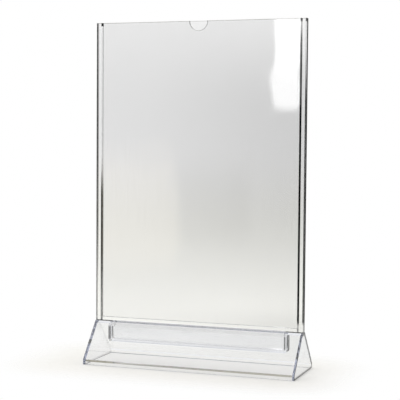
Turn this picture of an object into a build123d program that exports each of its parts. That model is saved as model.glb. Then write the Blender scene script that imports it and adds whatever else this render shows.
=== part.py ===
from build123d import *
import os

# Clear stand for one upright sheet: a flat two-sheet pocket that plugs into a hollow triangular foot.
# Millimetres, +Z up, front towards -Y. The origin is the centre of the foot's underside, on the table.

# The loose sheet that the pocket takes, A4 upright
insert_width = 210.0
insert_height = 297.0
insert_side_play = 0.8  # free room beside the sheet, on each side
insert_head_room = 9.5  # how far the pocket stands above the sheet

# Pocket: two flat sheets with bonded spacer strips between them
sheet_thickness = 1.8
slot_gap = 3.0  # clear room between the sheets, filled by the strips at the sides
side_strip_width = 6.7
slot_floor_height = 4.0  # the bottom strip's height above the foot
notch_radius = 9.5
notch_depth = 10.0
pocket_side_round = 1.5  # on the long outer edges of the pocket
pocket_edge_round = 0.3  # along the top of its outer faces and round the notch

# Tab at the pocket's bottom, which plugs into the foot
tab_inset = 19.2  # from the pocket's side to the tab's side
tab_depth = 18.5
tab_corner_radius = 2.0

# Foot: a sloped shell, open underneath
foot_depth = 70.0
foot_height = 41.5
rim_height = 5.5  # upright band at the bottom of the sloping walls
slope_wall = 2.8
ridge_wall = 3.3
rim_wall = 1.6  # the rim is thinner than the slopes, so the hollow flares at the bottom
end_wall = 2.6
ridge_lip = 0.8  # flat of the ridge on each side of the socket's mouth
foot_edge_round = 0.6

# Socket that hangs under the ridge and holds the tab
socket_side_wall = 1.8
socket_end_wall = 2.8
socket_floor = 2.5
socket_corner_radius = 2.5
tab_side_play = 0.2  # room in front of and behind the tab
tab_end_play = 0.4
tab_floor_play = 0.5  # keeps the weight on the pocket's shoulders

# Sizes that follow from the ones above
slot_width = insert_width + 2 * insert_side_play
pocket_width = slot_width + 2 * side_strip_width
pocket_thickness = 2 * sheet_thickness + slot_gap
slot_floor_z = foot_height + slot_floor_height
pocket_top_z = slot_floor_z + insert_height + insert_head_room
tab_width = pocket_width - 2 * tab_inset
tab_bottom_z = foot_height - tab_depth
mouth_thickness = pocket_thickness + 2 * tab_side_play
mouth_width = tab_width + 2 * tab_end_play
mouth_floor_z = tab_bottom_z - tab_floor_play
socket_thickness = mouth_thickness + 2 * socket_side_wall
socket_width = mouth_width + 2 * socket_end_wall
socket_bottom_z = mouth_floor_z - socket_floor
ridge_width = mouth_thickness + 2 * ridge_lip

ON_BOTTOM = (Align.CENTER, Align.MIN)


def upright_plane(back_y):
    """Plane of a flat piece whose back face is at back_y. Extruding from it goes forwards, to -Y."""
    return Plane(origin=(0, back_y, 0), x_dir=(1, 0, 0), z_dir=(0, -1, 0))


def tab_outline():
    """The tab from the front, with rounded lower corners that lead it into the socket."""
    tab = Pos(0, tab_bottom_z) * Rectangle(tab_width, tab_depth, align=ON_BOTTOM)
    return fillet(tab.vertices().group_by(Axis.Y)[0], tab_corner_radius)


def sheet(back_y):
    """One flat sheet of the pocket: a tall panel whose shoulders rest on the foot, and its tab."""
    panel = Pos(0, foot_height) * Rectangle(pocket_width, pocket_top_z - foot_height, align=ON_BOTTOM)
    return extrude(upright_plane(back_y) * (panel + tab_outline()), sheet_thickness)


def notch_cutter(back_y):
    """Round-bottomed thumb notch, open at the pocket's top edge."""
    centre_z = pocket_top_z - notch_depth + notch_radius
    bottom = Pos(0, centre_z) * Circle(notch_radius)
    mouth = Pos(0, centre_z) * Rectangle(2 * notch_radius, notch_depth, align=ON_BOTTOM)
    return extrude(upright_plane(back_y) * (bottom + mouth), sheet_thickness)


def eased(blank, outer_face_at):
    """A sheet with its outer face's edges rounded: wide along its two long sides, small along its top.

    outer_face_at picks the outer face: 0 for the frontmost and -1 for the rearmost."""
    outer_face = blank.faces().sort_by(Axis.Y)[outer_face_at]
    uprights = outer_face.edges().filter_by(Axis.Z).sort_by(Axis.X)
    rounded = fillet([uprights[0], uprights[-1]], pocket_side_round)
    outer_face = rounded.faces().sort_by(Axis.Y)[outer_face_at]
    seams = outer_face.edges().filter_by(Axis.Z).sort_by(Axis.X)
    above_slot = [edge for edge in outer_face.edges() if edge.center().Z > slot_floor_z]
    top = [edge for edge in above_slot if edge not in (seams[0], seams[-1])]
    return fillet(top, pocket_edge_round)


def front_sheet():
    """Front sheet, with the thumb notch."""
    back_y = -slot_gap / 2
    return eased(sheet(back_y) - notch_cutter(back_y), 0)


def back_sheet():
    """Back sheet, plain along its top."""
    return eased(sheet(slot_gap / 2 + sheet_thickness), -1)


def side_strip(side):
    """Spacer strip down one side of the pocket, with a full round edge towards the slot.

    side is -1 for the left and +1 for the right."""
    nose_radius = slot_gap / 2
    nose_x = side * (slot_width / 2 + nose_radius)
    outer_x = side * pocket_width / 2
    bar = Pos((nose_x + outer_x) / 2, 0) * Rectangle(abs(outer_x - nose_x), slot_gap)
    section = bar + Pos(nose_x, 0) * Circle(nose_radius)
    return extrude(Plane.XY.offset(foot_height) * section, pocket_top_z - foot_height)


def bottom_strip():
    """Spacer under the sheet slot: its floor between the side strips, and the core of the tab."""
    floor = Pos(0, foot_height) * Rectangle(slot_width, slot_floor_height, align=ON_BOTTOM)
    return extrude(upright_plane(slot_gap / 2) * (floor + tab_outline()), slot_gap)


def mirrored_section(front_half):
    """Face across the foot from the points of its front half, given from the bottom up as depth and height."""
    back_half = [(-y, z) for y, z in reversed(front_half)]
    return Plane.YZ * make_face(Polyline(*front_half, *back_half, close=True))


def foot_section():
    """Outside of the foot: upright rim, sloping walls and the flat ridge."""
    half_depth = foot_depth / 2
    return mirrored_section(
        [(-half_depth, 0), (-half_depth, rim_height), (-ridge_width / 2, foot_height)]
    )


def hollow_section():
    """Inside of the foot: upright inside of the rim, slopes along the outer ones and the ridge's underside."""
    half_depth = foot_depth / 2
    run = half_depth - ridge_width / 2
    rise = foot_height - rim_height
    lean = slope_wall * (run**2 + rise**2) ** 0.5 / run  # the slope wall measured upright
    rim_inside_y = half_depth - rim_wall
    rim_inside_z = rim_height - lean + rim_wall * rise / run
    ceiling_z = foot_height - ridge_wall
    ceiling_y = half_depth - (ceiling_z + lean - rim_height) * run / rise
    below = -foot_height
    return mirrored_section(
        [(-rim_inside_y, below), (-rim_inside_y, rim_inside_z), (-ceiling_y, ceiling_z)]
    )


def socket_block():
    """Outside of the socket: a flat box that hangs from the ridge, with rounded lower corners."""
    outline = Pos(0, socket_bottom_z) * Rectangle(
        socket_width, foot_height - socket_bottom_z, align=ON_BOTTOM
    )
    outline = fillet(outline.vertices().group_by(Axis.Y)[0], socket_corner_radius)
    return extrude(upright_plane(socket_thickness / 2) * outline, socket_thickness)


def socket_mouth():
    """Inside of the socket, from its floor up through the ridge."""
    outline = Pos(0, mouth_floor_z) * Rectangle(
        mouth_width, foot_height - mouth_floor_z, align=ON_BOTTOM
    )
    return extrude(upright_plane(mouth_thickness / 2) * outline, mouth_thickness)


def base_shell():
    """The foot: a solid wedge with eased edges, hollowed from below, with the socket under its ridge."""
    wedge = extrude(foot_section(), pocket_width / 2, both=True)
    wedge = fillet(wedge.edges(), foot_edge_round)
    hollow = extrude(hollow_section(), pocket_width / 2 - end_wall, both=True)
    return wedge - hollow + (socket_block() & wedge) - socket_mouth()


pieces = {
    "base_shell": base_shell(),
    "front_sheet": front_sheet(),
    "back_sheet": back_sheet(),
    "left_side_strip": side_strip(-1),
    "right_side_strip": side_strip(1),
    "bottom_strip": bottom_strip(),
}

os.makedirs("parts", exist_ok=True)
for name, piece in pieces.items():
    export_step(piece, f"parts/{name}.step")
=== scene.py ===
import math

import bpy
import numpy as np
from mathutils import Matrix, Vector


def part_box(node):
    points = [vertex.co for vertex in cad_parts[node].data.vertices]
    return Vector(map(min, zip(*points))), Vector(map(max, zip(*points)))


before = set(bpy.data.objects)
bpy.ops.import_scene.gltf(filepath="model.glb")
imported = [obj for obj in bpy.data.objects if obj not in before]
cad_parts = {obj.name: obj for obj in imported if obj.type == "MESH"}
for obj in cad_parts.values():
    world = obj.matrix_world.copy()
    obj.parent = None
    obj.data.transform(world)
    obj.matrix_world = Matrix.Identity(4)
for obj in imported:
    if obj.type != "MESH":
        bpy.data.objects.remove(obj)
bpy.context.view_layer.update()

MM = 0.001

# Sizes of the stand, read from the parts in model.glb
FOOT_LOW, FOOT_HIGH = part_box("base_shell")
STRIP_LOW, STRIP_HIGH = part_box("right_side_strip")
SLOT_HALF_WIDTH = STRIP_LOW.x
SLOT_HALF_GAP = STRIP_HIGH.y
NOSE_CENTRE = SLOT_HALF_WIDTH + SLOT_HALF_GAP
SLOT_FLOOR_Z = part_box("bottom_strip")[1].z
POCKET_TOP_Z = STRIP_HIGH.z
NOTCH_RADIUS = 9.5 * MM
NOTCH_CENTRE_Z = POCKET_TOP_Z - 0.5 * MM
BOND_TOLERANCE = 0.05 * MM
BOND_FACING = 0.9  # a bonded face looks at least this squarely at its sheet

# Clear plastics: colour at each face, bending of light, and the share of lamp light that each face lets through
SHEET_TINT, SHEET_IOR, SHEET_LAMP_SHARE = (0.99, 0.99, 0.99), 1.49, 0.88
FOOT_TINT, FOOT_IOR, FOOT_LAMP_SHARE = (0.995, 0.995, 0.995), 1.585, 0.98
FOOT_DEPTH_TINT = ((0.20, 0.26, 0.46), 17.0)  # colour and density inside the foot's walls
SHEET_SURFACE = {"Wave Scale": 22.0, "Wave Height": 0.14 * MM, "Scratches": 1.0, "Dust": 1.0}
STRIP_SURFACE = {"Wave Scale": 22.0, "Wave Height": 0.0, "Scratches": 0.4, "Dust": 0.3}
FOOT_SURFACE = {"Wave Scale": 45.0, "Wave Height": 0.03 * MM, "Scratches": 0.6, "Dust": 0.8}

# What every clear surface shows close up
WAVE_OFFSET = (0.0, 0.288, 0.0)  # which stretch of the noise pattern the surfaces show
WAVE_DETAIL, WAVE_ROUGHNESS = 1.0, 0.35
HAIRLINES = ((0.10, (1500.0, 1500.0, 16.0)), (-0.22, (1100.0, 1100.0, 30.0)))  # lean, and scale along x, y and z
HAIRLINE_STEP = (0.72, 0.80)  # only the crests of the noise are scratches
HAIRLINE_SHARE, HAIRLINE_HAZE = 0.3, 0.05
SCRATCH_DEPTH = 0.0004 * MM
DUST_SCALE, SPECK_SIZE, SPECK_CUT = 130.0, 0.035, 0.012  # the cut leaves a speck in only some of the cells
SPECK_HAZE = 0.35
MARK_COLOUR, MARK_SHARE = (0.62, 0.61, 0.58), 0.3
POLISH = 0.008  # roughness of the clean surface

# Painted shade on edges: where each mask sets in and is full, and its share
EDGE_SHADE_COLOUR = (0.004, 0.004, 0.004)  # painted shade: the edges render near black
EDGE_SHADE_ROUGHNESS = 0.12
ROUND_SETS_IN, ROUND_ENDS = (0.06, 0.35), (0.93, 0.99)  # sideways part of the normal on a rounded edge
ROUND_EDGE_REACH = 2.0 * MM
CUT_END_Z = POCKET_TOP_Z - 3.2 * MM
RIGHT_FADE_Z, RIGHT_FADE_SHARE = (270.0 * MM, 345.0 * MM), 0.6
LEFT_SHADE_Z, LEFT_SHADE_SHARE = (70.0 * MM, 150.0 * MM), 0.8
LOW_RIGHT_LIGHTER_Z, LOW_RIGHT_LIGHTER_SHARE = (FOOT_HIGH.z + 7.0 * MM, FOOT_HIGH.z + 11.0 * MM), 0.7
CONTACT_SHADE_X = (FOOT_HIGH.x - 1.2 * MM, FOOT_HIGH.x - 0.6 * MM)
CONTACT_SHADE_Z, CONTACT_SHADE_LEFT_SHARE = (1.5 * MM, 2.3 * MM), 0.35
CORNER_X = (SLOT_HALF_WIDTH - 0.23 * MM, SLOT_HALF_WIDTH + 0.12 * MM)
CORNER_SHIFT = 0.12 * MM  # wider by this on the right, and narrower on the left
CORNER_FADE_Z, CORNER_FADE_SLOPE = (244.0 * MM, 290.0 * MM), 0.68
LOW_LEFT_Z, LOW_LEFT_SHARE = (50.0 * MM, 120.0 * MM), 0.25
NOTCH_RIM, NOTCH_RIM_SHARE = (0.2 * MM, 0.5 * MM), 0.6

# The studio by direction. A window is from, to and softness in degrees, a patch is a window across and one in
# height, and a step is where a change sets in and is full
WHITE = (1.0, 1.0, 1.0)
WARM_PAPER = (1.0, 0.998, 0.955)
DIM_ROOM = (0.36, 0.34, 0.27)
WARM_WALL = (0.42, 0.36, 0.26)
SOFT_GREY = (0.79, 0.79, 0.79)  # the room as the paper on the table sees it
SWEEP_RIGHT = (0.5, 24.0, 11.0)
SWEEP_HORIZON, HORIZON_FADE, HORIZON_RIGHT_FADE = (-6.2, 4.0, 6.0), 0.10, 0.16
SWEEP_MIDDLE, MIDDLE_FADE = ((-1.0, 2.4, 0.9), (-5.4, -1.8, 2.0)), 0.04
SWEEP_UPPER_STEP, UPPER_FADE = (-8.0, -4.5), 0.02
SWEEP_FOOT_STEP, FOOT_FADE, FOOT_RIGHT_FADE = (-9.4, -8.2), 0.01, 0.12
WARM_STEP = (-5.0, -0.5)
ABOVE_SWEEP = (20.4, 75.0, 0.6)
FLAG_LEFT = ((-66.0, -7.4, 1.6), (-14.0, 3.0, 2.5))
FLAG_RIGHT = ((6.4, 140.0, 1.2), (-9.3, 7.0, 0.8))
FLAG_RIGHT_GAP = ((36.0, 62.0, 4.0), (-8.7, -6.2, 1.6))
FLAG_LOW = ((34.4, 43.42, 0.2), (-14.0, -9.2, 0.6))
FLAG_UNDER = ((14.0, 60.0, 8.0), (-45.0, -15.0, 4.0))
FLAG_SHARE = 0.985
FRONT_STEP, FRONT_DIM = (-0.2, 0.2), 0.96  # this step is in parts of the heading, not in degrees
TABLE_STEP, TABLE_LIGHT = (-8.6, -6.4), 0.28
TABLE_RIGHT_STEP, TABLE_RIGHT_FADE = (-38.0, -34.2), 0.26
TABLE_EDGE_STEP = (-9.7, -9.1)
CEILING_STEP = (16.0, 20.0)
TALL_BOX, TALL_BOX_LIGHT = ((-35.45, -34.1, 0.3), (1.15, 40.0, 1.0)), 2.6
WALL_PATCH = ((-60.0, -40.2, 0.7), (-6.4, -1.0, 2.4))

# The table
FLOOR_Z = -0.2 * MM  # a hair under the rim, as the rim is never quite flat
PAPER_COLOUR = (0.95, 0.938, 0.90)
PAPER_FADE = (4.0 * MM, 85.0 * MM)  # distance from the foot over which the paper fades out
PAPER_SHIFT = 14.0 * MM  # the paper reaches this much further to the left

# Camera, solved from the photograph's edges
CAMERA_PLACE = Vector((402.4, -1133.8, 238.7)) * MM
CAMERA_YAW = math.radians(19.454)
CAMERA_PITCH = math.radians(3.232)
CAMERA_ROLL = math.radians(0.424)
CAMERA_LENS_MM = 106.46
CAMERA_SENSOR_MM = 36.0


def new_node(tree, kind, **settings):
    """Adds a node and sets its own properties."""
    node = tree.nodes.new(kind)
    for name, value in settings.items():
        setattr(node, name, value)
    return node


def feed(tree, target, source):
    """Puts a number on an input, or links an output to it."""
    if isinstance(source, bpy.types.NodeSocket):
        tree.links.new(source, target)
    else:
        target.default_value = source


def calc(tree, operation, first, second=0.0):
    """One Math node on two numbers or outputs. Returns its output."""
    node = new_node(tree, "ShaderNodeMath", operation=operation)
    feed(tree, node.inputs[0], first)
    feed(tree, node.inputs[1], second)
    return node.outputs[0]


def chain(tree, operation, first, *others):
    """The same Math operation over several numbers or outputs in turn."""
    for other in others:
        first = calc(tree, operation, first, other)
    return first


def times(tree, *factors):
    """The product of numbers or outputs."""
    return chain(tree, "MULTIPLY", *factors)


def largest(tree, *values):
    """The largest of numbers or outputs."""
    return chain(tree, "MAXIMUM", *values)


def rest_of(tree, share):
    """1 less a share."""
    return calc(tree, "SUBTRACT", 1.0, share)


def distance(tree, first, second):
    """The root of the sum of two squares."""
    return calc(tree, "SQRT", calc(tree, "ADD", times(tree, first, first), times(tree, second, second)))


def smooth_step(tree, value, low, high):
    """0 below low, 1 above high and a smooth ramp between."""
    node = new_node(tree, "ShaderNodeMapRange", interpolation_type="SMOOTHSTEP")
    feed(tree, node.inputs["Value"], value)
    node.inputs["From Min"].default_value = low
    node.inputs["From Max"].default_value = high
    return node.outputs["Result"]


def angle_step(tree, value, low, high):
    """A smooth step between two angles in degrees."""
    return smooth_step(tree, value, math.radians(low), math.radians(high))


def angle_window(tree, value, low, high, soften):
    """1 where value lies between low and high degrees, with soft edges that many degrees wide."""
    rise = angle_step(tree, value, low - soften / 2, low + soften / 2)
    fall = angle_step(tree, value, high - soften / 2, high + soften / 2)
    return times(tree, rise, rest_of(tree, fall))


def patch(tree, bearing, height, windows):
    """1 in a patch of directions: a window across times a window in height."""
    across, upward = windows
    return times(tree, angle_window(tree, bearing, *across), angle_window(tree, height, *upward))


def axes_of(tree, vector):
    """The three numbers of a vector output."""
    node = new_node(tree, "ShaderNodeSeparateXYZ")
    tree.links.new(vector, node.inputs[0])
    return node.outputs[0], node.outputs[1], node.outputs[2]


def dot(tree, vector, axis):
    """The share of a vector output along a fixed axis."""
    node = new_node(tree, "ShaderNodeVectorMath", operation="DOT_PRODUCT")
    tree.links.new(vector, node.inputs[0])
    node.inputs[1].default_value = axis
    return node.outputs["Value"]


def tone(tree, level, colour):
    """A colour times a level, as a vector output."""
    node = new_node(tree, "ShaderNodeVectorMath", operation="SCALE")
    node.inputs[0].default_value = colour
    feed(tree, node.inputs["Scale"], level)
    return node.outputs[0]


def choose(tree, factor, off, on):
    """Colour off where factor is 0 and colour on where it is 1."""
    node = new_node(tree, "ShaderNodeMix", data_type="RGBA")
    feed(tree, node.inputs["Factor"], factor)
    for slot, colour in ((6, off), (7, on)):
        if isinstance(colour, bpy.types.NodeSocket):
            tree.links.new(colour, node.inputs[slot])
        else:
            node.inputs[slot].default_value = (*colour, 1.0)
    return node.outputs[2]


def bonded_faces_group():
    """Group: 1 on faces that are solvent-bonded to a neighbour, where no air gap is left to mirror or bend light.
    They lie on the slot's two flat sides, beside the strips' round edges or under the slot's floor."""
    tree = bpy.data.node_groups.new("bonded_faces", "ShaderNodeTree")
    tree.interface.new_socket("Bonded", in_out="OUTPUT", socket_type="NodeSocketFloat")
    out = new_node(tree, "NodeGroupOutput")
    x, y, z = axes_of(tree, new_node(tree, "ShaderNodeTexCoord").outputs["Object"])
    ny = axes_of(tree, new_node(tree, "ShaderNodeNewGeometry").outputs["Normal"])[1]
    across = calc(tree, "ABSOLUTE", x)
    depth = calc(tree, "ABSOLUTE", y)

    beside = calc(tree, "GREATER_THAN", across, NOSE_CENTRE)
    under = calc(tree, "LESS_THAN", z, SLOT_FLOOR_Z)
    within = calc(tree, "LESS_THAN", across, SLOT_HALF_WIDTH)
    around = largest(tree, beside, times(tree, under, within))
    flat_off = calc(tree, "ABSOLUTE", calc(tree, "SUBTRACT", depth, SLOT_HALF_GAP))
    on_flat = calc(tree, "LESS_THAN", flat_off, BOND_TOLERANCE)
    faces_flat = calc(tree, "GREATER_THAN", calc(tree, "ABSOLUTE", ny), BOND_FACING)
    feed(tree, out.inputs["Bonded"], times(tree, around, on_flat, faces_flat))
    return tree


def clear_surface_group():
    """Group: what a clear polished surface shows close up. Its height swells gently, as no sheet is quite flat, with
    hairline scratches along its length; the scratches and specks of dust are also rougher and a little darker."""
    tree = bpy.data.node_groups.new("clear_surface", "ShaderNodeTree")
    for name in ("Wave Scale", "Wave Height", "Scratches", "Dust"):
        tree.interface.new_socket(name, in_out="INPUT", socket_type="NodeSocketFloat")
    tree.interface.new_socket("Tint", in_out="INPUT", socket_type="NodeSocketColor")
    tree.interface.new_socket("Color", in_out="OUTPUT", socket_type="NodeSocketColor")
    for name in ("Roughness", "Height"):
        tree.interface.new_socket(name, in_out="OUTPUT", socket_type="NodeSocketFloat")
    given = new_node(tree, "NodeGroupInput")
    out = new_node(tree, "NodeGroupOutput")
    place = new_node(tree, "ShaderNodeTexCoord").outputs["Object"]

    moved = new_node(tree, "ShaderNodeMapping")
    moved.inputs["Location"].default_value = WAVE_OFFSET
    tree.links.new(place, moved.inputs["Vector"])
    swell = new_node(tree, "ShaderNodeTexNoise")
    tree.links.new(moved.outputs["Vector"], swell.inputs["Vector"])
    tree.links.new(given.outputs["Wave Scale"], swell.inputs["Scale"])
    swell.inputs["Detail"].default_value = WAVE_DETAIL
    swell.inputs["Roughness"].default_value = WAVE_ROUGHNESS
    wave = times(tree, swell.outputs[0], given.outputs["Wave Height"])

    lines = []
    for lean, scale in HAIRLINES:
        stretched = new_node(tree, "ShaderNodeMapping")
        stretched.inputs["Rotation"].default_value = (0.0, lean, 0.0)
        stretched.inputs["Scale"].default_value = scale
        tree.links.new(place, stretched.inputs["Vector"])
        fibre = new_node(tree, "ShaderNodeTexNoise")
        fibre.inputs["Scale"].default_value = 1.0
        fibre.inputs["Detail"].default_value = 0.0
        tree.links.new(stretched.outputs["Vector"], fibre.inputs["Vector"])
        lines.append(smooth_step(tree, fibre.outputs[0], *HAIRLINE_STEP))
    hair = times(tree, largest(tree, *lines), given.outputs["Scratches"])

    cells = new_node(tree, "ShaderNodeTexVoronoi")
    cells.inputs["Scale"].default_value = DUST_SCALE
    tree.links.new(place, cells.inputs["Vector"])
    size = calc(tree, "SUBTRACT", times(tree, axes_of(tree, cells.outputs["Color"])[0], SPECK_SIZE), SPECK_CUT)
    speck = times(tree, calc(tree, "LESS_THAN", cells.outputs["Distance"], size), given.outputs["Dust"])

    marks = largest(tree, times(tree, hair, HAIRLINE_SHARE), speck)
    feed(tree, out.inputs["Color"], choose(tree, times(tree, marks, MARK_SHARE), given.outputs["Tint"], MARK_COLOUR))
    haze = chain(tree, "ADD", times(tree, hair, HAIRLINE_HAZE), times(tree, speck, SPECK_HAZE), POLISH)
    feed(tree, out.inputs["Roughness"], haze)
    feed(tree, out.inputs["Height"], calc(tree, "SUBTRACT", wave, times(tree, hair, SCRATCH_DEPTH)))
    return tree


def painted_edge_shade_group():
    """Group: 1 where shade is painted on edges. Those are the pocket's round outer edges and the ends of its strips,
    the slot's side corners, the bottom edges of the foot's ends, where a contact shadow is painted, and the rim of the
    thumb notch."""
    tree = bpy.data.node_groups.new("painted_edge_shade", "ShaderNodeTree")
    tree.interface.new_socket("Painted Shade", in_out="OUTPUT", socket_type="NodeSocketFloat")
    out = new_node(tree, "NodeGroupOutput")
    x, y, z = axes_of(tree, new_node(tree, "ShaderNodeTexCoord").outputs["Object"])
    nx = axes_of(tree, new_node(tree, "ShaderNodeNewGeometry").outputs["Normal"])[0]
    across = calc(tree, "ABSOLUTE", x)
    above_foot = calc(tree, "GREATER_THAN", z, FOOT_HIGH.z)
    cut_end = calc(tree, "GREATER_THAN", z, CUT_END_Z)

    # Round outer edges, painted shade: on the right it thins towards the top but for the cut end, and on the left
    # there is none low down
    turn = calc(tree, "ABSOLUTE", nx)
    rounded = times(tree, smooth_step(tree, turn, *ROUND_SETS_IN), rest_of(tree, smooth_step(tree, turn, *ROUND_ENDS)))
    on_right = calc(tree, "GREATER_THAN", x, FOOT_HIGH.x - ROUND_EDGE_REACH)
    on_left = calc(tree, "LESS_THAN", x, FOOT_LOW.x + ROUND_EDGE_REACH)
    right_fade = calc(tree, "SUBTRACT", times(tree, smooth_step(tree, z, *RIGHT_FADE_Z), RIGHT_FADE_SHARE), cut_end)
    right_outer_shade = times(tree, on_right, calc(tree, "MINIMUM", rest_of(tree, right_fade), 1.0))
    left_outer_shade = times(tree, on_left, smooth_step(tree, z, *LEFT_SHADE_Z), LEFT_SHADE_SHARE)
    outer_edge_shade = times(tree, rounded, largest(tree, right_outer_shade, left_outer_shade), above_foot)

    # Slot corners, painted shade: it reaches higher on the right, thins low on the left and fills the cut ends
    shifted = calc(tree, "ADD", across, times(tree, calc(tree, "SIGN", x), CORNER_SHIFT))
    corner = times(tree, smooth_step(tree, shifted, *CORNER_X), calc(tree, "LESS_THAN", across, NOSE_CENTRE))
    inner = calc(tree, "LESS_THAN", calc(tree, "ABSOLUTE", y), SLOT_HALF_GAP + BOND_TOLERANCE)
    slanted_height = calc(tree, "SUBTRACT", z, times(tree, x, CORNER_FADE_SLOPE))
    corner_reach = rest_of(tree, smooth_step(tree, slanted_height, *CORNER_FADE_Z))
    low_left = times(tree, calc(tree, "LESS_THAN", x, 0.0), rest_of(tree, smooth_step(tree, z, *LOW_LEFT_Z)))
    corner_reach = calc(tree, "SUBTRACT", corner_reach, times(tree, low_left, LOW_LEFT_SHARE))
    corner_shade = times(tree, corner, inner, largest(tree, corner_reach, cut_end), above_foot)

    # Just above the foot the painted shade is weaker on the right side
    low_right = times(tree, calc(tree, "GREATER_THAN", x, 0.0), rest_of(tree, smooth_step(tree, z, *LOW_RIGHT_LIGHTER_Z)))
    edges = times(tree, largest(tree, outer_edge_shade, corner_shade), rest_of(tree, times(tree, low_right, LOW_RIGHT_LIGHTER_SHARE)))

    # Bottom edges of the foot's ends: painted contact shadow, weaker on the left
    end_right = smooth_step(tree, x, *CONTACT_SHADE_X)
    end_left = times(tree, smooth_step(tree, times(tree, x, -1.0), *CONTACT_SHADE_X), CONTACT_SHADE_LEFT_SHARE)
    near_table = rest_of(tree, smooth_step(tree, z, *CONTACT_SHADE_Z))
    contact_shade = times(tree, calc(tree, "ADD", end_right, end_left), near_table)

    # Rim of the thumb notch, in the front sheet only: painted shade
    reach = distance(tree, x, calc(tree, "SUBTRACT", z, NOTCH_CENTRE_Z))
    off_rim = calc(tree, "ABSOLUTE", calc(tree, "SUBTRACT", reach, NOTCH_RADIUS))
    rim = rest_of(tree, smooth_step(tree, off_rim, *NOTCH_RIM))
    thumb = times(tree, rim, NOTCH_RIM_SHARE, calc(tree, "LESS_THAN", y, 0.0))

    feed(tree, out.inputs["Painted Shade"], largest(tree, contact_shade, edges, thumb))
    return tree


def clear_plastic(name, tint, ior, lamp_share, surface, bonded=None, depth_tint=None):
    """Clear polished plastic that lets a share of lamp light through each face. surface holds the values of its
    surface group, bonded is the group that opens its bonded faces, and depth_tint the colour and density that a
    thick piece takes on along its length."""
    material = bpy.data.materials.new(name)
    material.use_nodes = True
    tree = material.node_tree
    tree.nodes.clear()
    out = new_node(tree, "ShaderNodeOutputMaterial")
    body = new_node(tree, "ShaderNodeBsdfPrincipled")
    body.inputs["IOR"].default_value = ior
    body.inputs["Transmission Weight"].default_value = 1.0
    finish = new_node(tree, "ShaderNodeGroup", node_tree=clear_surface)
    finish.inputs["Tint"].default_value = (*tint, 1.0)
    for setting, value in surface.items():
        finish.inputs[setting].default_value = value
    edge_shade = new_node(tree, "ShaderNodeGroup", node_tree=painted_edge_shade).outputs["Painted Shade"]
    # The edges get painted shade: near black in the base colour, and a little rougher
    feed(tree, body.inputs["Base Color"], choose(tree, edge_shade, finish.outputs["Color"], EDGE_SHADE_COLOUR))
    roughness = calc(tree, "ADD", finish.outputs["Roughness"], times(tree, edge_shade, EDGE_SHADE_ROUGHNESS))
    feed(tree, body.inputs["Roughness"], roughness)
    bump = new_node(tree, "ShaderNodeBump")
    bump.inputs["Distance"].default_value = 1.0
    feed(tree, bump.inputs["Height"], finish.outputs["Height"])
    feed(tree, body.inputs["Normal"], bump.outputs["Normal"])
    if bonded:
        mask = new_node(tree, "ShaderNodeGroup", node_tree=bonded)
        feed(tree, body.inputs["Alpha"], rest_of(tree, mask.outputs["Bonded"]))
    shade = new_node(tree, "ShaderNodeBsdfTransparent")
    shade.inputs["Color"].default_value = (lamp_share, lamp_share, lamp_share, 1.0)
    path = new_node(tree, "ShaderNodeLightPath")
    mix = new_node(tree, "ShaderNodeMixShader")
    feed(tree, mix.inputs["Fac"], path.outputs["Is Shadow Ray"])
    feed(tree, mix.inputs[1], body.outputs["BSDF"])
    feed(tree, mix.inputs[2], shade.outputs["BSDF"])
    feed(tree, out.inputs["Surface"], mix.outputs["Shader"])
    if depth_tint:
        inside = new_node(tree, "ShaderNodeVolumeAbsorption")
        colour, density = depth_tint
        inside.inputs["Color"].default_value = (*colour, 1.0)
        inside.inputs["Density"].default_value = density
        feed(tree, out.inputs["Volume"], inside.outputs["Volume"])
    return material


def dress(node_name, material):
    """Gives a CAD node its finish."""
    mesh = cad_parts[node_name].data
    mesh.materials.clear()
    mesh.materials.append(material)


def sweep_level(tree, bearing, height):
    """How light the white sweep behind the stand is. It is a little darker to the right, at the horizon and at its
    foot."""
    right = angle_window(tree, bearing, *SWEEP_RIGHT)
    horizon = angle_window(tree, height, *SWEEP_HORIZON)
    fade = times(tree, horizon, calc(tree, "ADD", HORIZON_FADE, times(tree, right, HORIZON_RIGHT_FADE)))
    middle = times(tree, patch(tree, bearing, height, SWEEP_MIDDLE), MIDDLE_FADE)
    upper = times(tree, angle_step(tree, height, *SWEEP_UPPER_STEP), UPPER_FADE)
    under = rest_of(tree, angle_step(tree, height, *SWEEP_FOOT_STEP))
    foot = times(tree, under, calc(tree, "ADD", FOOT_FADE, times(tree, right, FOOT_RIGHT_FADE)))
    return calc(tree, "SUBTRACT", rest_of(tree, chain(tree, "ADD", fade, middle, upper)), foot)


def dark_flags(tree, bearing, height):
    """1 on the dark flags beside the sweep: low on the left, on the right with a light gap, and two lower ones."""
    gap = patch(tree, bearing, height, FLAG_RIGHT_GAP)
    flag_right = times(tree, patch(tree, bearing, height, FLAG_RIGHT), rest_of(tree, gap))
    others = [patch(tree, bearing, height, flag) for flag in (FLAG_LEFT, FLAG_LOW, FLAG_UNDER)]
    return largest(tree, flag_right, *others)


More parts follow.
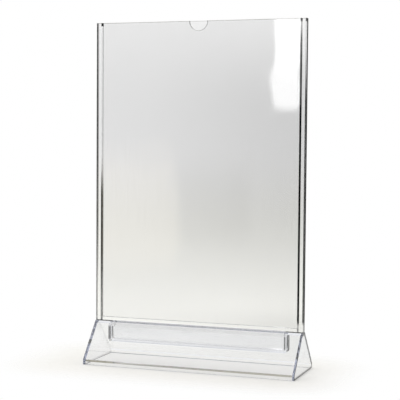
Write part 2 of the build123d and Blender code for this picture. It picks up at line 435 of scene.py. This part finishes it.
def mirrored_room(tree, ahead, aside, bearing, height, paper, above):
    """What mirrored light sees: the sweep between dark flags with a dim room above it, and in front a dim room with
    a lighter table and ceiling, one tall soft box and a warm wall."""
    flags = times(tree, dark_flags(tree, bearing, height), FLAG_SHARE)
    around = times(tree, paper, rest_of(tree, flags))
    backward = times(tree, ahead, -1.0)
    front = smooth_step(tree, backward, *FRONT_STEP)
    behind = calc(tree, "ARCTAN2", aside, backward)
    rightward = times(tree, angle_step(tree, behind, *TABLE_RIGHT_STEP), TABLE_RIGHT_FADE)
    table = times(tree, rest_of(tree, angle_step(tree, height, *TABLE_STEP)),
                  calc(tree, "SUBTRACT", TABLE_LIGHT, rightward))
    table_edge = rest_of(tree, angle_step(tree, height, *TABLE_EDGE_STEP))
    lit = largest(tree, table, table_edge, angle_step(tree, height, *CEILING_STEP))
    dim = times(tree, front, rest_of(tree, lit), FRONT_DIM)
    tall_box = times(tree, patch(tree, behind, height, TALL_BOX), TALL_BOX_LIGHT)
    room = calc(tree, "ADD", times(tree, around, rest_of(tree, dim)), tall_box)
    mirrored = choose(tree, patch(tree, behind, height, WALL_PATCH), tone(tree, room, WHITE), WARM_WALL)
    return choose(tree, times(tree, above, rest_of(tree, front)), mirrored, DIM_ROOM)


def studio_world():
    """A studio by direction. The eye sees plain white. Light through the plastic sees a white sweep, warm below the
    horizon, with a dim warm room above it. Mirrored light sees the flags and the front of the room as well, and the
    paper on the table sees an even grey."""
    world = bpy.data.worlds.new("studio")
    bpy.context.scene.world = world
    world.use_nodes = True
    world.cycles.sampling_method = "NONE"
    tree = world.node_tree
    tree.nodes.clear()
    out = new_node(tree, "ShaderNodeOutputWorld")
    sky = new_node(tree, "ShaderNodeBackground")
    path = new_node(tree, "ShaderNodeLightPath")
    heading = new_node(tree, "ShaderNodeTexCoord").outputs["Generated"]
    ahead = dot(tree, heading, (-math.sin(CAMERA_YAW), math.cos(CAMERA_YAW), 0.0))
    aside = dot(tree, heading, (math.cos(CAMERA_YAW), math.sin(CAMERA_YAW), 0.0))
    bearing = calc(tree, "ARCTAN2", aside, ahead)
    height = calc(tree, "ARCSINE", dot(tree, heading, (0.0, 0.0, 1.0)))

    paper = sweep_level(tree, bearing, height)
    above = angle_window(tree, height, *ABOVE_SWEEP)
    mirrored = mirrored_room(tree, ahead, aside, bearing, height, paper, above)
    cool = angle_step(tree, height, *WARM_STEP)
    through = choose(tree, cool, tone(tree, paper, WARM_PAPER), tone(tree, paper, WHITE))
    through = choose(tree, above, through, DIM_ROOM)
    seen = choose(tree, path.outputs["Is Camera Ray"], through, WHITE)
    bounced = calc(tree, "GREATER_THAN", path.outputs["Glossy Depth"], 0.5)
    seen = choose(tree, bounced, seen, mirrored)
    diffused = calc(tree, "GREATER_THAN", path.outputs["Diffuse Depth"], 0.5)
    seen = choose(tree, diffused, seen, SOFT_GREY)
    feed(tree, sky.inputs["Color"], seen)
    feed(tree, out.inputs["Surface"], sky.outputs[0])


def floor_finish():
    """White paper that fades out into the white background with the distance from the foot."""
    material = bpy.data.materials.new("white_paper")
    material.use_nodes = True
    tree = material.node_tree
    tree.nodes.clear()
    out = new_node(tree, "ShaderNodeOutputMaterial")
    paper = new_node(tree, "ShaderNodeBsdfDiffuse")
    paper.inputs["Color"].default_value = (*PAPER_COLOUR, 1.0)
    away = new_node(tree, "ShaderNodeBsdfTransparent")
    x, y, _ = axes_of(tree, new_node(tree, "ShaderNodeTexCoord").outputs["Object"])
    sideways = calc(tree, "ABSOLUTE", calc(tree, "ADD", x, PAPER_SHIFT))
    beside = largest(tree, calc(tree, "SUBTRACT", sideways, FOOT_HIGH.x), 0.0)
    before = largest(tree, calc(tree, "SUBTRACT", calc(tree, "ABSOLUTE", y), FOOT_HIGH.y), 0.0)
    mix = new_node(tree, "ShaderNodeMixShader")
    feed(tree, mix.inputs["Fac"], smooth_step(tree, distance(tree, beside, before), *PAPER_FADE))
    feed(tree, mix.inputs[1], paper.outputs[0])
    feed(tree, mix.inputs[2], away.outputs[0])
    feed(tree, out.inputs["Surface"], mix.outputs[0])
    return material


def table_floor():
    """A flat round sheet of paper: rings of points at radius r and angle t, all at one height."""
    radius, rings, spokes = 0.9, 8, 96
    r, t = np.meshgrid(np.linspace(0.0, radius, rings + 1)[1:], np.arange(spokes) * 2 * np.pi / spokes, indexing="ij")
    rim = np.stack([r * np.cos(t), r * np.sin(t), np.full_like(r, FLOOR_Z)], -1).reshape(-1, 3)
    points = np.vstack([[[0.0, 0.0, FLOOR_Z]], rim])
    ring, spoke = np.meshgrid(np.arange(rings - 1), np.arange(spokes), indexing="ij")
    after = (spoke + 1) % spokes
    a = 1 + ring * spokes + spoke
    b = 1 + ring * spokes + after
    quads = np.stack([a, a + spokes, b + spokes, b], -1).reshape(-1, 4)
    hub = np.stack([np.zeros(spokes, int), 1 + np.arange(spokes), 1 + (np.arange(spokes) + 1) % spokes], -1)
    mesh = bpy.data.meshes.new("paper_floor")
    mesh.from_pydata(points.tolist(), [], hub.tolist() + quads.tolist())
    mesh.materials.append(floor_finish())
    table = bpy.data.objects.new("paper_floor", mesh)
    bpy.context.scene.collection.objects.link(table)


def soft_box(name, place, aim, width, height, watts):
    """A rectangular studio lamp that points from place to aim. Only the paper on the table shows its light."""
    data = bpy.data.lights.new(name, "AREA")
    data.shape = "RECTANGLE"
    data.size = width
    data.size_y = height
    data.energy = watts
    lamp = bpy.data.objects.new(name, data)
    lamp.location = place
    lamp.rotation_euler = (Vector(aim) - Vector(place)).to_track_quat("-Z", "Y").to_euler()
    lamp.visible_camera = False
    lamp.visible_transmission = False
    lamp.visible_glossy = False
    bpy.context.scene.collection.objects.link(lamp)


def camera_at_photo():
    """The camera: looks along its yaw and pitch, turned by its roll."""
    sa, ca = math.sin(CAMERA_YAW), math.cos(CAMERA_YAW)
    se, ce = math.sin(CAMERA_PITCH), math.cos(CAMERA_PITCH)
    forward = Vector((-sa * ce, ca * ce, -se))
    level = Vector((ca, sa, 0.0))
    upright = level.cross(forward)
    sr, cr = math.sin(CAMERA_ROLL), math.cos(CAMERA_ROLL)
    right = level * cr + upright * sr
    up = upright * cr - level * sr
    data = bpy.data.cameras.new("photo_camera")
    data.lens = CAMERA_LENS_MM
    data.sensor_width = CAMERA_SENSOR_MM
    camera = bpy.data.objects.new("photo_camera", data)
    turn = Matrix((right, up, -forward)).transposed().to_4x4()
    camera.matrix_world = Matrix.Translation(CAMERA_PLACE) @ turn
    bpy.context.scene.collection.objects.link(camera)
    bpy.context.scene.camera = camera


bonded_faces = bonded_faces_group()
clear_surface = clear_surface_group()
painted_edge_shade = painted_edge_shade_group()
sheet_finish = clear_plastic("clear_sheet", SHEET_TINT, SHEET_IOR, SHEET_LAMP_SHARE, SHEET_SURFACE, bonded_faces)
strip_finish = clear_plastic("clear_strip", SHEET_TINT, SHEET_IOR, SHEET_LAMP_SHARE, STRIP_SURFACE, bonded_faces)
foot_finish = clear_plastic("clear_foot", FOOT_TINT, FOOT_IOR, FOOT_LAMP_SHARE, FOOT_SURFACE,
                            depth_tint=FOOT_DEPTH_TINT)
for node_name in ("front_sheet", "back_sheet"):
    dress(node_name, sheet_finish)
for node_name in ("left_side_strip", "right_side_strip", "bottom_strip"):
    dress(node_name, strip_finish)
dress("base_shell", foot_finish)

studio_world()
table_floor()
soft_box("overhead_box", place=(-0.4, 0.3, 1.4), aim=(0.0, 0.0, 0.0), width=0.9, height=0.9, watts=5.4)
camera_at_photo()

scene = bpy.context.scene
scene.view_settings.view_transform = "Standard"
# Light passes many clear faces before it leaves the stand
scene.cycles.max_bounces = 24
scene.cycles.transmission_bounces = 24
scene.cycles.glossy_bounces = 12
scene.cycles.transparent_max_bounces = 32
scene.cycles.caustics_reflective = True
scene.cycles.caustics_refractive = True
scene.cycles.blur_glossy = 0.0
